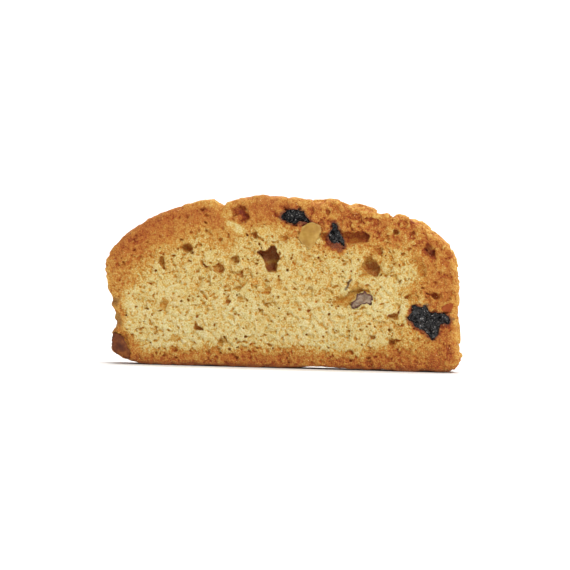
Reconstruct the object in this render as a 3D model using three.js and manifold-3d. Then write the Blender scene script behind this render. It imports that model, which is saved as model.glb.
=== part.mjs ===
// A biscotti: one slice of a fruit and nut loaf, standing on its baked base.
// Millimetres. X runs along the slice, Y through its thickness, Z up.
// The cut face with the large raisin looks along -Y. The origin is the middle
// of the base: X and Y at the centre of the slice, Z = 0 where it rests.

import * as THREE from "three";
import { mergeVertices } from "three/addons/utils/BufferGeometryUtils.js";
import Module from "manifold-3d";

const wasm = await Module();
wasm.setup();

// ---- Driving dimensions -----------------------------------------------------

const THICKNESS = 16;
const FRONT = -THICKNESS / 2;
const BACK = THICKNESS / 2;
const EDGE_ROUND = 0.9; // how far the crust's cut edges are worn back
const CRUST_STEP = 2.1; // spacing of points along the crust
const BASE_STEP = 12; // spacing of points along the flat base
const CRUST_BUMP = 0.85; // height of the crags on the top and sides
const FACE_RELIEF = 0.25; // waviness of the two cut faces
const FACE_CELL = 4; // size of the facets of a cut face
const GAP = 0.3; // clearance round every fruit and nut piece

// The rounded top and sides, from the base's left end over the top to its right
// end, as [x, z]. The base itself is the straight line that closes it.
const CRUST_POINTS = [
  [-38.0, 0.0], [-43.0, 1.4], [-47.0, 3.8], [-47.2, 8.3], [-46.4, 10.6],
  [-46.8, 15.2], [-47.8, 19.6], [-49.2, 24.0], [-49.6, 27.6], [-47.9, 31.9],
  [-44.6, 36.0], [-38.4, 40.4], [-31.4, 43.6], [-24.2, 46.0], [-20.4, 46.4],
  [-17.8, 45.0], [-16.4, 45.8], [-11.4, 47.3], [-7.2, 47.9], [-2.0, 47.5],
  [6.0, 47.0], [14.6, 46.9], [17.0, 46.2], [22.6, 45.5], [26.1, 43.7],
  [28.2, 43.9], [30.3, 43.0], [32.0, 43.5], [37.2, 42.4], [42.6, 38.3],
  [47.0, 33.8], [48.8, 26.5], [48.4, 21.0], [48.8, 14.4], [49.4, 7.5],
  [49.7, 3.6], [48.2, 1.2], [44.0, 0.0],
];

// The rim from a cut face to mid thickness, as [distance in from the face, share
// of the rounding]. It starts outside the face, which trims it.
const RIM_STEPS = [
  [-1, 1.8], [0, 1], [0.35, 0.3], [EDGE_ROUND, 0], [3.2, 0], [5.6, 0], [THICKNESS / 2, 0],
];

// ---- Repeatable noise ---------------------------------------------------------

// A number from 0 to 1 that depends only on three whole numbers.
function hash(i, j, k) {
  let h = Math.imul(i, 374761393) ^ Math.imul(j, 668265263) ^ Math.imul(k, 974634777);
  h = Math.imul(h ^ (h >>> 13), 1274126177);
  return ((h ^ (h >>> 16)) >>> 0) / 4294967296;
}

// Smooth noise from -1 to 1, with features about one unit across.
function noise(x, y, z) {
  const [i, j, k] = [x, y, z].map(Math.floor);
  const [u, v, w] = [x - i, y - j, z - k].map((t) => t * t * (3 - 2 * t));
  const edge = (b, c) => THREE.MathUtils.lerp(hash(i, j + b, k + c), hash(i + 1, j + b, k + c), u);
  const face = (c) => THREE.MathUtils.lerp(edge(0, c), edge(1, c), v);
  return 2 * THREE.MathUtils.lerp(face(0), face(1), w) - 1;
}

// ---- Solids -------------------------------------------------------------------

// A closed geometry with shared vertices becomes a solid that can be cut.
function solidOf(geometry) {
  geometry.deleteAttribute("normal");
  geometry.deleteAttribute("uv");
  const merged = mergeVertices(geometry, 1e-4);
  return new wasm.Manifold(
    new wasm.Mesh({
      numProp: 3,
      vertProperties: new Float32Array(merged.attributes.position.array),
      triVerts: new Uint32Array(merged.index.array),
    }),
  );
}

function geometryOf(solid) {
  const mesh = solid.getMesh();
  const geometry = new THREE.BufferGeometry();
  geometry.setAttribute("position", new THREE.BufferAttribute(mesh.vertProperties, 3));
  geometry.setIndex(new THREE.BufferAttribute(mesh.triVerts, 1));
  geometry.computeVertexNormals();
  return geometry;
}

// Skins a stack of rings with equal point counts, and closes both ends flat.
// Each ring runs the same way round; the first ring is the nearest the front.
function loft(rings) {
  const count = rings[0].length;
  const position = rings.flat().flatMap((p) => [p.x, p.y, p.z]);
  const index = [];
  for (let r = 0; r < rings.length - 1; r++) {
    for (let i = 0; i < count; i++) {
      const a = r * count + i;
      const b = r * count + ((i + 1) % count);
      index.push(a, b, a + count, b, b + count, a + count);
    }
  }
  const flat = (ring) => ring.map((p) => new THREE.Vector2(p.x, p.z));
  const last = (rings.length - 1) * count;
  for (const [a, b, c] of THREE.ShapeUtils.triangulateShape(flat(rings[0]), [])) {
    index.push(a, b, c);
  }
  for (const [a, b, c] of THREE.ShapeUtils.triangulateShape(flat(rings.at(-1)), [])) {
    index.push(last + a, last + c, last + b);
  }
  const geometry = new THREE.BufferGeometry();
  geometry.setAttribute("position", new THREE.Float32BufferAttribute(position, 3));
  geometry.setIndex(index);
  return geometry;
}

// ---- The slice ------------------------------------------------------------------

// The whole outline as points with outward normals, clockwise seen from the front.
function outlinePoints() {
  const crust = new THREE.SplineCurve(CRUST_POINTS.map(([x, z]) => new THREE.Vector2(x, z)));
  const points = crust.getSpacedPoints(Math.round(crust.getLength() / CRUST_STEP));
  const [left, right] = [points[0], points.at(-1)];
  const baseSteps = Math.round((right.x - left.x) / BASE_STEP);
  for (let i = 1; i < baseSteps; i++) {
    points.push(right.clone().lerp(left, i / baseSteps));
  }
  return points.map((p, i) => {
    const before = points.at(i - 1);
    const after = points[(i + 1) % points.length];
    const along = after.clone().sub(before).normalize();
    return { x: p.x, z: Math.max(p.y, 0), nx: -along.y, nz: along.x };
  });
}

// How far the crust stands out at a point: crags on top and to the right, gentle
// waves on the left, and nothing on the base, which lay flat on the tray.
function crustBump(x, y, z) {
  const clear = THREE.MathUtils.smoothstep(z, 0.8, 4);
  const rough = THREE.MathUtils.lerp(0.45, 1, THREE.MathUtils.smoothstep(x, -22, 12));
  const crags = noise(x / 4.1, y / 3.3, z / 4.1) + 0.5 * noise(x / 1.9, y / 1.8, z / 1.9);
  const behind = THREE.MathUtils.lerp(0.35, 1, THREE.MathUtils.smoothstep(y, FRONT, FRONT + 5));
  return CRUST_BUMP * clear * rough * behind * crags;
}

function rimRing(outline, y, rounding) {
  return outline.map(({ x, z, nx, nz }) => {
    const wear = 0.65 + 0.7 * Math.abs(noise(x / 3, y > 0 ? 7 : 3, z / 3));
    const out = crustBump(x, y, z) - EDGE_ROUND * rounding * wear;
    return new THREE.Vector3(x + nx * out, y, z + nz * out);
  });
}

// The crust all round, as a lump of the outline's shape a little thicker than the slice.
function rimGeometry() {
  const outline = outlinePoints();
  const half = (y) => RIM_STEPS.map(([inward, rounding]) =>
    rimRing(outline, y - Math.sign(y) * inward, rounding));
  return loft([...half(FRONT), ...half(BACK).reverse().slice(1)]);
}

// The block between the two knife cuts, each a little wavy and torn.
function cutBlockGeometry() {
  const [wide, high] = [112, 64];
  const block = new THREE.BoxGeometry(
    wide, THICKNESS, high, Math.round(wide / FACE_CELL), 1, Math.round(high / FACE_CELL),
  );
  block.translate(0, 0, high / 2 - 8);
  const position = block.attributes.position;
  for (let i = 0; i < position.count; i++) {
    const [x, y, z] = [position.getX(i), position.getY(i), position.getZ(i)];
    const wave = 0.5 + 0.5 * noise(x / 9, y, z / 9);
    const torn = 0.6 * hash(Math.round(x), Math.round(y), Math.round(z));
    position.setY(i, y - Math.sign(y) * FACE_RELIEF * (wave + torn));
  }
  return block;
}

// ---- Lumps: the shape of every hollow and of every piece of fruit or nut ----------

// Points round a closed outline given as [x, z] corners. grow widens it all round.
function ringOutline(corners, count, grow) {
  const curve = new THREE.CatmullRomCurve3(
    corners.map(([x, z]) => new THREE.Vector3(x, 0, z)), true, "catmullrom", 0.35,
  );
  const points = curve.getSpacedPoints(count).slice(0, count);
  const centre = points.reduce((sum, p) => sum.add(p), new THREE.Vector3()).divideScalar(count);
  const arms = points.map((p) => p.sub(centre));
  return { centre, arms: arms.map((arm) => arm.setLength(arm.length() + grow)) };
}

// A lump whose section at the cut face is the outline. Each level is
// [distance in from the face, share of the outline there]. side is 1 for a lump
// in the front face and -1 for one in the back face.
function lump(corners, levels, { count = 20, grow = 0, side = 1, rough = 0 }) {
  const { centre, arms } = ringOutline(corners, count, grow);
  const rings = levels.map(([inward, share]) =>
    arms.map((arm) => {
      const y = side * (FRONT + inward);
      const x = centre.x + arm.x * share;
      const z = centre.z + arm.z * share;
      const push = 1 + rough * noise(x * 0.9, y * 0.9, z * 0.9);
      return new THREE.Vector3(centre.x + arm.x * share * push, y, centre.z + arm.z * share * push);
    }),
  );
  const outward = side > 0 ? rings : rings.reverse();
  const area = THREE.ShapeUtils.area(arms.map((arm) => new THREE.Vector2(arm.x, arm.z)));
  return loft(area < 0 ? outward : outward.map((ring) => [...ring].reverse()));
}

// Levels of a piece that lies in the slice and was cut with it: a nearly flat
// face with a soft edge, full width just behind it, and a rounded end inside.
function pieceLevels(depth, sunk, grow = 0) {
  return [
    [sunk - grow, 0.5], [sunk + 0.1 - grow, 0.88], [sunk + 0.45 - grow, 1],
    [0.4 * depth, 1], [0.75 * depth, 0.8], [depth + grow, 0.42],
  ];
}

// Levels of its pocket: open at the face, and the gap wider than the piece.
function pocketLevels(depth) {
  return [
    [-1, 1.02], [0.4 * depth + GAP, 1], [0.75 * depth + GAP, 0.82], [depth + 2 * GAP, 0.46],
  ];
}

// Levels of a hollow that opens at the face and rounds off inside.
function hollowLevels(depth) {
  return [
    [-1, 1.02], [0.45 * depth, 0.94], [depth, 0.5],
  ];
}

// Corners of an oval, turned by an angle in degrees.
function oval(x, z, wide, high, turn = 0, corners = 8) {
  const angle = THREE.MathUtils.degToRad(turn);
  return [...Array(corners).keys()].map((i) => {
    const t = (2 * Math.PI * i) / corners;
    const uneven = 0.82 + 0.36 * hash(i, Math.round(10 * x), Math.round(10 * z));
    const [u, v] = [(wide / 2) * uneven * Math.cos(t), (high / 2) * uneven * Math.sin(t)];
    return [x + u * Math.cos(angle) - v * Math.sin(angle), z + u * Math.sin(angle) + v * Math.cos(angle)];
  });
}

// ---- Fruit and nut pieces ---------------------------------------------------------

const COLOURS = {
  crumb: { color: "#d8b877", roughness: 0.9 },
  raisin: { color: "#2f2b29", roughness: 0.45 },
  sultana: { color: "#6f4128", roughness: 0.45 },
  paleNut: { color: "#c09550", roughness: 0.5 },
  walnut: { color: "#968069", roughness: 0.6 },
  peel: { color: "#b86423", roughness: 0.3 },
};

// name, finish, outline at the cut face, depth into the slice, how far its face
// is sunk, which cut face it shows in (1 front, -1 back), points round it.
const PIECES = [
  {
    name: "raisin_top", finish: "raisin", depth: 4.5, sunk: 0.1, side: 1, count: 18,
    corners: [
      [-1.5, 42.3], [-0.2, 43.6], [1.7, 44.4], [3.6, 44.1], [5.3, 43.0], [6.4, 41.3],
      [4.6, 40.9], [2.6, 40.4], [0.6, 41.0],
    ],
  },
  {
    name: "raisin_spire", finish: "raisin", depth: 4, sunk: 0.15, side: 1, count: 18,
    corners: [
      [13.5, 41.2], [14.5, 39.6], [15.4, 37.0], [16.7, 34.4], [15.2, 34.4], [14.0, 35.4],
      [12.8, 34.4], [11.8, 35.6], [12.0, 37.2], [12.8, 38.8],
    ],
  },
  {
    name: "raisin_large", finish: "raisin", depth: 6, sunk: 0.1, side: 1, count: 26,
    corners: [
      [36.0, 18.1], [38.6, 18.3], [40.4, 16.8], [42.4, 16.4], [46.3, 16.0], [46.6, 13.2],
      [44.0, 12.9], [43.4, 10.6], [41.8, 9.5], [39.4, 11.0], [36.0, 13.0], [34.6, 14.8],
    ],
  },
  {
    name: "sultana_corner", finish: "sultana", depth: 7, sunk: 0.2, side: 1, count: 16,
    corners: [
      [-47.0, 8.2], [-45.4, 8.0], [-44.0, 6.8], [-43.4, 4.6], [-43.5, 2.0], [-45.4, 2.9],
      [-47.2, 4.2],
    ],
  },
  {
    name: "nut_pale", finish: "paleNut", depth: 4.5, sunk: 0.05, side: 1, count: 14,
    corners: [
      [6.2, 40.1], [8.0, 40.8], [9.8, 39.8], [9.2, 37.6], [8.2, 35.3], [6.6, 34.1],
      [4.4, 36.2], [4.4, 38.8],
    ],
  },
  {
    name: "walnut_chip", finish: "walnut", depth: 4, sunk: 0.3, side: 1, count: 16,
    corners: [
      [19.0, 17.4], [19.2, 19.2], [20.7, 21.0], [22.6, 21.8], [24.6, 21.0], [25.0, 18.8],
      [23.2, 18.3], [20.9, 17.5],
    ],
  },
  {
    name: "orange_peel", finish: "peel", depth: 3, sunk: 0.15, side: 1, count: 14,
    corners: [
      [43.8, 17.6], [44.9, 18.8], [45.9, 20.4], [47.0, 19.4], [46.8, 17.4], [45.2, 17.2],
    ],
  },
  {
    name: "raisin_back_left", finish: "raisin", depth: 5, sunk: 0.1, side: -1, count: 16,
    corners: [
      [-31.5, 24.0], [-29.6, 26.6], [-26.4, 27.0], [-23.0, 25.4], [-22.4, 22.8],
      [-25.2, 22.0], [-28.0, 22.6],
    ],
  },
  {
    name: "raisin_back_right", finish: "raisin", depth: 4.5, sunk: 0.15, side: -1, count: 14,
    corners: oval(23, 34, 7, 5.2, -35, 9),
  },
  {
    name: "nut_back", finish: "paleNut", depth: 4, sunk: 0.05, side: -1, count: 12,
    corners: [
      [1.0, 12.0], [3.6, 13.8], [6.6, 12.6], [7.4, 9.6], [4.8, 8.2], [1.6, 9.2],
    ],
  },
  {
    name: "walnut_back", finish: "walnut", depth: 4, sunk: 0.2, side: -1, count: 14,
    corners: [
      [-8.4, 35.6], [-6.6, 37.8], [-3.8, 37.4], [-3.0, 34.8], [-5.2, 33.2], [-7.4, 33.8],
    ],
  },
];

// ---- Hollows ------------------------------------------------------------------------

// The large hollows of the front face that are not simply oval.
const DEEP_HOLE = {
  depth: 6.5, count: 18,
  corners: [
    [-7.8, 32.2], [-6.4, 32.7], [-5.0, 32.6], [-4.0, 34.1], [-2.8, 34.0], [-1.9, 32.6],
    [-1.3, 30.2], [-2.5, 28.8], [-2.3, 27.4], [-4.5, 26.4], [-5.5, 28.9], [-6.4, 31.0],
  ],
};
const CRUST_CRATER = {
  depth: 3.6, count: 12,
  corners: [
    [-15.2, 44.2], [-13.5, 44.9], [-11.2, 44.8], [-10.0, 43.4], [-10.2, 41.6], [-12.0, 40.0],
    [-14.4, 41.2],
  ],
};
const OBLONG_HOLLOW = {
  depth: 2.6, count: 14,
  corners: [
    [14.9, 38.3], [17.7, 38.9], [20.6, 38.8], [23.0, 38.7], [23.8, 37.3], [21.4, 35.8],
    [18.6, 35.2], [16.2, 35.9],
  ],
};
const NUT_CHANNEL = {
  depth: 2.2, count: 14,
  corners: [
    [13.2, 18.3], [14.6, 19.8], [16.9, 20.3], [18.6, 22.4], [20.6, 23.4], [23.4, 22.9],
    [23.8, 20.8], [21.0, 18.4], [17.6, 18.2],
  ],
};

// The clear oval hollows: x, z, width, height, depth and turn in degrees.
const FRONT_OVALS = [
  [24.1, 29.3, 4.7, 5.0, 3.4, 0],
  [-27.2, 32.9, 3.5, 2.7, 2.6, -12],
  [-34.2, 28.9, 1.9, 4.6, 1.8, 6],
  [-18.2, 27.3, 3.5, 2.5, 3.0, 0],
  [-13.8, 29.9, 2.7, 2.9, 2.2, -20],
  [-12.8, 22.0, 2.8, 1.7, 1.8, 15],
  [-0.6, 36.4, 3.3, 1.5, 1.2, 0],
  [10.8, 37.0, 1.7, 2.4, 1.8, 0],
  [26.8, 33.0, 2.4, 1.3, 1.4, 0],
  [30.9, 38.8, 2.6, 1.7, 1.8, -20],
  [40.6, 34.1, 2.2, 3.6, 2.4, 40],
  [38.0, 28.6, 3.2, 5.6, 1.3, 20],
  [42.2, 21.4, 3.2, 2.4, 2.0, -30],
  [34.6, 20.9, 2.3, 1.4, 1.4, 20],
  [30.7, 15.4, 2.7, 1.9, 2.0, 15],
  [30.5, 7.8, 2.4, 2.5, 1.8, 0],
  [-17.2, 6.9, 2.6, 2.7, 1.6, 0],
  [-23.3, 10.5, 3.3, 1.7, 1.8, -8],
  [-33.7, 16.8, 2.5, 2.4, 1.4, 30],
];

const BACK_OVALS = [
  [-36.0, 30.5, 3.0, 4.2, 2.4, 20],
  [-14.0, 30.0, 5.2, 3.8, 4.0, -15],
  [9.5, 36.5, 4.4, 3.0, 3.0, 10],
  [13.5, 24.5, 3.0, 3.8, 2.6, 0],
  [33.0, 22.0, 4.6, 3.2, 3.2, 25],
  [40.5, 31.0, 2.6, 3.4, 2.0, 40],
  [-22.5, 11.0, 3.4, 2.2, 2.2, 0],
  [20.0, 9.0, 2.6, 2.6, 1.8, 0],
];

// Small pores, spread evenly over a cut face and clear of everything larger.
const PORES = { front: 14, back: 16, spacing: 5, smallest: 1.0, largest: 1.9 };
const PORE_AREA = { x: 43, low: 4, high: 41 };

const centreOf = (corners) => [0, 1].map((axis) =>
  corners.reduce((sum, corner) => sum + corner[axis], 0) / corners.length);

const reachOf = (corners) => {
  const [x, z] = centreOf(corners);
  return Math.max(...corners.map(([u, v]) => Math.hypot(u - x, v - z)));
};

// Centres and sizes of the pores on one face, by rejection with a fixed sequence.
function porePlaces(wanted, side, taken) {
  const places = [];
  for (let tries = 0; places.length < wanted && tries < 4000; tries++) {
    const x = (2 * hash(tries, side, 11) - 1) * PORE_AREA.x;
    const z = THREE.MathUtils.lerp(PORE_AREA.low, PORE_AREA.high, hash(tries, side, 23));
    const size = THREE.MathUtils.lerp(PORES.smallest, PORES.largest, hash(tries, side, 37) ** 2);
    const underTop = Math.hypot(x / 52, Math.max(z - 8, 0) / 38) < 0.92;
    const clearOfRest = taken.every(([u, v, reach]) => Math.hypot(x - u, z - v) > reach + size);
    const clearOfPores = places.every(([u, v]) => Math.hypot(x - u, z - v) > PORES.spacing);
    if (underTop && clearOfRest && clearOfPores) places.push([x, z, size]);
  }
  return places;
}

function poreHollows(wanted, side, taken) {
  return porePlaces(wanted, side, taken).map(([x, z, size], i) => {
    const wide = size * (1 + 0.5 * hash(i, side, 5));
    const corners = oval(x, z, wide, size, 360 * hash(i, side, 7), 6);
    return lump(corners, hollowLevels(0.9 * size), { count: 6, side });
  });
}

const ovalHollow = (side) => ([x, z, wide, high, depth, turn]) =>
  lump(oval(x, z, wide, high, turn), hollowLevels(depth), { count: 9, side, rough: 0.12 });

function hollows() {
  const shaped = [DEEP_HOLE, CRUST_CRATER, OBLONG_HOLLOW, NUT_CHANNEL];
  const taken = (side, ovals) => [
    ...PIECES.filter((piece) => piece.side === side)
      .map(({ corners }) => [...centreOf(corners), reachOf(corners) + 1]),
    ...ovals.map(([x, z, wide, high]) => [x, z, Math.max(wide, high) / 2 + 0.6]),
  ];
  const shapedTaken = shaped.map(({ corners }) => [...centreOf(corners), reachOf(corners) + 0.6]);
  return [
    ...shaped.map(({ corners, depth, count }) =>
      lump(corners, hollowLevels(depth), { count, rough: 0.15 })),
    ...FRONT_OVALS.map(ovalHollow(1)),
    ...BACK_OVALS.map(ovalHollow(-1)),
    ...poreHollows(PORES.front, 1, [...taken(1, FRONT_OVALS), ...shapedTaken]),
    ...poreHollows(PORES.back, -1, taken(-1, BACK_OVALS)),
  ];
}

// ---- Assembly -----------------------------------------------------------------------

function meshOf(name, geometry, finish) {
  const material = new THREE.MeshStandardMaterial({ ...COLOURS[finish], metalness: 0 });
  const mesh = new THREE.Mesh(geometry, material);
  mesh.name = name;
  return mesh;
}

function sliceMesh() {
  let slice = solidOf(rimGeometry()).intersect(solidOf(cutBlockGeometry()));
  for (const hollow of hollows()) {
    slice = slice.subtract(solidOf(hollow));
  }
  for (const { corners, depth, count, side } of PIECES) {
    slice = slice.subtract(solidOf(lump(corners, pocketLevels(depth), { count, side, grow: GAP })));
  }
  return meshOf("biscotti_slice", geometryOf(slice), "crumb");
}

function pieceMesh({ name, finish, corners, depth, sunk, count, side }) {
  const geometry = lump(corners, pieceLevels(depth, sunk), { count, side });
  return meshOf(name, geometryOf(solidOf(geometry)), finish);
}

const biscotti = new THREE.Group();
biscotti.add(sliceMesh());
PIECES.forEach((piece) => biscotti.add(pieceMesh(piece)));

export default biscotti;
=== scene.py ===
import math

import bpy
import numpy as np
import openvdb
from mathutils import Matrix, Vector


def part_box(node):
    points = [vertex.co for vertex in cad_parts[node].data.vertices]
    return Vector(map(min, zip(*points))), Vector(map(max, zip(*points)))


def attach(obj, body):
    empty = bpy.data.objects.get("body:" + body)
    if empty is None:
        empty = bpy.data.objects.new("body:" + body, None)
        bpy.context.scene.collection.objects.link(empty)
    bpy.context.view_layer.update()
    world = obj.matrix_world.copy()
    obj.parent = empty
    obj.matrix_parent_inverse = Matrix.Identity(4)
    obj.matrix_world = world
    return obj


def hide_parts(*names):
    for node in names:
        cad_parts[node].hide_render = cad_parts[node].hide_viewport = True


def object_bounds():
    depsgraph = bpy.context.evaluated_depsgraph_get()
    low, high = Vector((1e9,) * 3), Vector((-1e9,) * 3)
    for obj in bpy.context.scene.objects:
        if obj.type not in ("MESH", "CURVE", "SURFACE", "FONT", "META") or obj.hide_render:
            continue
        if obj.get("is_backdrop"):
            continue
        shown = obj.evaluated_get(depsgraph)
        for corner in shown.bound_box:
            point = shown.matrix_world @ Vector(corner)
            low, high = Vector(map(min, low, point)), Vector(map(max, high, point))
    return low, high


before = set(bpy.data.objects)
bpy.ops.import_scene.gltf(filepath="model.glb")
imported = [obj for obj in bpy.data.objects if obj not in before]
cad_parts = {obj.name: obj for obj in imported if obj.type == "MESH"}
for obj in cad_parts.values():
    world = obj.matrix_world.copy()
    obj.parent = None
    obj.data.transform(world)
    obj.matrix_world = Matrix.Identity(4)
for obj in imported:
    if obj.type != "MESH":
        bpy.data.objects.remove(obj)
cad_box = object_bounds()

# Looks for a slice of fruit and nut biscotti. Every visible piece starts from the
# distance field of its CAD solid, and gets its fine form (crumb, pores, crags,
# wrinkles) as more fields on the same grid. The grid is then turned into a mesh.
# Fields are in millimetres and below zero inside the solid. Meshes are in metres.

MM = 0.001

CRUMB_STEP = 0.25       # grid of the slice
FRUIT_STEP = 0.16       # grid of the fruit and nut pieces
FACE_Y = 8.0            # from the middle of the slice to its cut faces
MIDDLE = (0.0, 20.0)    # x and z from which directions to the crust are taken
CRUST_TURN = 1.0        # how far the cut faces fall back where they meet the crust
CRUST_TURN_WIDTH = 2.4  # how far from the crust they start to
BASE_LIFT = 0.5         # how far the base is clear of the floor right of its middle

# The baked brown under the crust, by the direction from the middle: degrees from +X
# towards +Z, its depth in mm, how suddenly it ends there, its darkest tone, and how
# much paler it is at the very edge.
BROWNING = (
    (-180, 3.4, 0.8, 0.3, 0), (-174, 3, 0.8, 0.3, 0), (-166, 2, 1, 0.15, 0),
    (-156, 4.8, 1.3, 0.15, 0), (-140, 5.2, 1.5, 0.15, 0), (-115, 6.4, 1.6, 0.15, 0),
    (-75, 5.6, 1.5, 0.15, 0), (-45, 5.4, 1.5, 0.15, 0), (-32, 6.2, 1.5, 0.15, 0),
    (-22, 8.2, 1.5, 0.16, 0), (-12, 11.8, 1.6, 0.2, 0.16), (-5, 12.2, 2, 0.24, 0.08),
    (8, 12.2, 2.2, 0.23, 0.03), (18, 12, 1.2, 0.21, 0.02), (32, 12.2, 1.1, 0.2, 0),
    (42, 14.6, 1.8, 0.18, 0), (52, 14.6, 1.8, 0.18, 0), (64, 12.8, 1.7, 0.18, 0),
    (80, 11.4, 1.4, 0.12, 0), (95, 10.6, 1.3, 0.1, 0), (110, 10.4, 1.1, 0.16, 0.06),
    (118, 10.6, 1, 0.18, 0.15), (132, 11.4, 1, 0.18, 0.19), (144, 12.4, 1.1, 0.14, -0.05),
    (164, 11.6, 1.1, 0.14, -0.05), (170, 10.6, 1, 0.22, 0), (176, 8, 0.9, 0.32, 0.04),
    (180, 3.4, 0.8, 0.3, 0),
)
# The brown's tone, from dark crust at 0 to pale crumb, by how far through it a place is.
TONE_DEPTHS = (0.0, 0.27, 0.5, 0.68, 0.86, 1.0, 1.2, 1.5)
TONES = (0.12, 0.20, 0.30, 0.39, 0.48, 0.55, 0.62, 0.66)

# Three hollows of the front that are cut into the solid too: corners in x and z.
DEEP_HOLE = (
    (-7.7, 32.4), (-6.9, 33.1), (-6.3, 32.8), (-5.5, 32.5), (-4.8, 32.7), (-4.5, 33.6),
    (-4, 34), (-3, 34.2), (-2.2, 34), (-1.9, 33.3), (-2.1, 32.5), (-1.7, 31.8),
    (-1.5, 31), (-1.6, 30.1), (-2.2, 29.3), (-2.5, 28.5), (-2.3, 27.7), (-2.5, 27.1),
    (-3.5, 27), (-4.3, 26.5), (-4.8, 26.8), (-5.2, 27.8), (-5.5, 28.8), (-5.9, 29.7),
    (-6.3, 30.6), (-6.7, 31.4), (-7.4, 31.8),
)
ROUND_HOLE = (
    (-20.6, 28.2), (-19.2, 28.6), (-17, 28.1), (-16.3, 27.1), (-17.6, 25.7), (-19.5, 26.3),
    (-20.2, 27.3),
)
CRUST_HOLE = (
    (38.6, 34.6), (39.4, 36), (40.7, 35.6), (42.1, 33.9), (42.2, 32.3), (40.8, 32.7),
    (39.6, 33.4),
)
# Hollows of the front, wherever fruit or a nut fell out or the dough drew apart:
# corners, depth in mm, and how much shade is painted inside them, darker with depth.
HOLLOWS = (
    (DEEP_HOLE, 4.2, 0.95),
    (((20.9, 29.4), (21.5, 31.2), (22.8, 31.8), (24.1, 31.4), (25.6, 30.5), (26.8, 29.3),
      (26.7, 27.8), (25.3, 26.4), (23.2, 27), (21.9, 27.4), (21.1, 28.1)), 1.8, 0.42),
    (((23, 29.9), (24.6, 30.3), (26.8, 29.3), (26.7, 27.8), (25.3, 26.4), (23.3, 27.3),
      (22.7, 28.7)), 2.6, 0.72),
    (((15.2, 38.9), (17.2, 38.6), (18.8, 38.7), (20.6, 38.9), (22.5, 38.8), (23.6, 38.4),
      (23.8, 37.6), (23.5, 36.7), (22.6, 36.1), (21.4, 35.8), (19.8, 35.7), (18.3, 35.7),
      (17, 35.9), (16.2, 36.5), (15.6, 37.7)), 1.4, 0.45),
    (((20.5, 38.9), (22.5, 38.8), (23.6, 38.4), (23.8, 37.6), (23.5, 36.7), (22.6, 36.1),
      (21.2, 35.9), (20.4, 36.6), (20.8, 37.7)), 1.9, 0.7),
    (((13.5, 18.3), (14.1, 19.3), (15.5, 20), (17.5, 20.4), (18.4, 21.6), (18.7, 22.8),
      (18.5, 24.1), (19.4, 24.6), (21.2, 24.4), (23, 23.7), (23.5, 22.7), (23.1, 21.9),
      (21.3, 21.6), (20.3, 21), (19.2, 19.8), (18.8, 18.8), (18.2, 18.4), (15.5, 18.1)),
     0.5, 0.35),
    (((-29.3, 33.2), (-27.8, 34.3), (-25.5, 34), (-25.6, 32.5), (-24.9, 31.3),
      (-26.1, 30.9), (-27.1, 31.9), (-28.7, 32.2)), 1.4, 0.5),
    (((-35.4, 29.3), (-34.6, 30.7), (-33.8, 30.7), (-33.6, 29.1), (-32.8, 26.6),
      (-33.8, 25.9), (-34.5, 27.5)), 1.2, 0.45),
    (((-15.4, 30.3), (-13.7, 31.6), (-12.7, 30.9), (-12.3, 29.6), (-13.3, 28.6),
      (-14.3, 29.5)), 1.6, 0.5),
    (ROUND_HOLE, 1.4, 0.5),
    (((-22.9, 28.5), (-21.7, 28.3), (-20.3, 27.7), (-20.6, 26.8), (-21.8, 27.6)), 1.6, 0.7),
    (CRUST_HOLE, 1.9, 0.85),
    (((37, 31.3), (38.3, 31), (39.2, 28.9), (39.8, 26.5), (37.9, 26.3), (36.5, 27.2),
      (37.2, 28.8)), 1.2, 0.35),
    (((29.2, 15.9), (30.6, 16.4), (32.1, 16.6), (32, 15.1), (30.9, 14.4), (29.8, 14.9)),
     1.7, 0.6),
    (((33.1, 21.4), (34.5, 21.2), (35.6, 21.9), (35.4, 20.7), (33.8, 20)), 1.2, 0.5),
    (((29.4, 8.9), (31.7, 8.4), (30.9, 6.8), (29.7, 7.5)), 1.4, 0.6),
    (((-24.9, 10.5), (-24.5, 11.8), (-23.9, 11), (-22.8, 11.2), (-22.1, 10.9),
      (-21.7, 9.7), (-23, 9.5), (-24.1, 9.7)), 1.5, 0.6),
    (((-34.8, 15.9), (-33.9, 17.4), (-33.7, 18.2), (-32.4, 17.7), (-32.5, 17),
      (-33.4, 16.2), (-33.9, 15.4)), 1, 0.4),
    (((-2.3, 36.3), (-1.7, 36.9), (-0.3, 37.1), (1.2, 36.9), (1.2, 35.8), (0.2, 35.3),
      (-1, 35.3), (-1.8, 35.6)), 0.9, 0.3),
    (((9.8, 37.8), (10.1, 38.7), (10.8, 38.3), (11.5, 38.2), (11.9, 37.9), (11.7, 36.7),
      (11.6, 35.9), (10.9, 35.7), (10.4, 36.6)), 1.2, 0.5),
    (((-1.6, 40.7), (-0.2, 40.3), (1.2, 39.9), (2.4, 39.7), (2.7, 38.5), (1.8, 37.8),
      (0.3, 38.5), (-0.8, 39.4)), 0.9, 0.25),
    (((39.9, 22), (41.1, 22.2), (42.6, 21.9), (43.2, 21), (42.5, 19.9), (41.3, 21.2)),
     1.4, 0.6),
    (((-4.6, 43.3), (-2.5, 43.4), (-2.4, 42.1), (-3.6, 42.4)), 1, 0.7),
    (((-12.3, 43.1), (-10.1, 43.5), (-10.2, 41.7), (-11.6, 41.4)), 1.9, 0.7),
)
BOWL_SHADE = 0.43       # hollows with less painted shade than this are gentle bowls
BOWL_WALL = 2.2         # how wide their walls are, in mm
STEEP_WALL = 0.7        # how wide the walls of the others are
# A paler streak across the deep hole: painted light, with less painted shade there.
STREAK = ((-5.2, 29.1), (-3.6, 29.7), (-1.7, 30))
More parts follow.
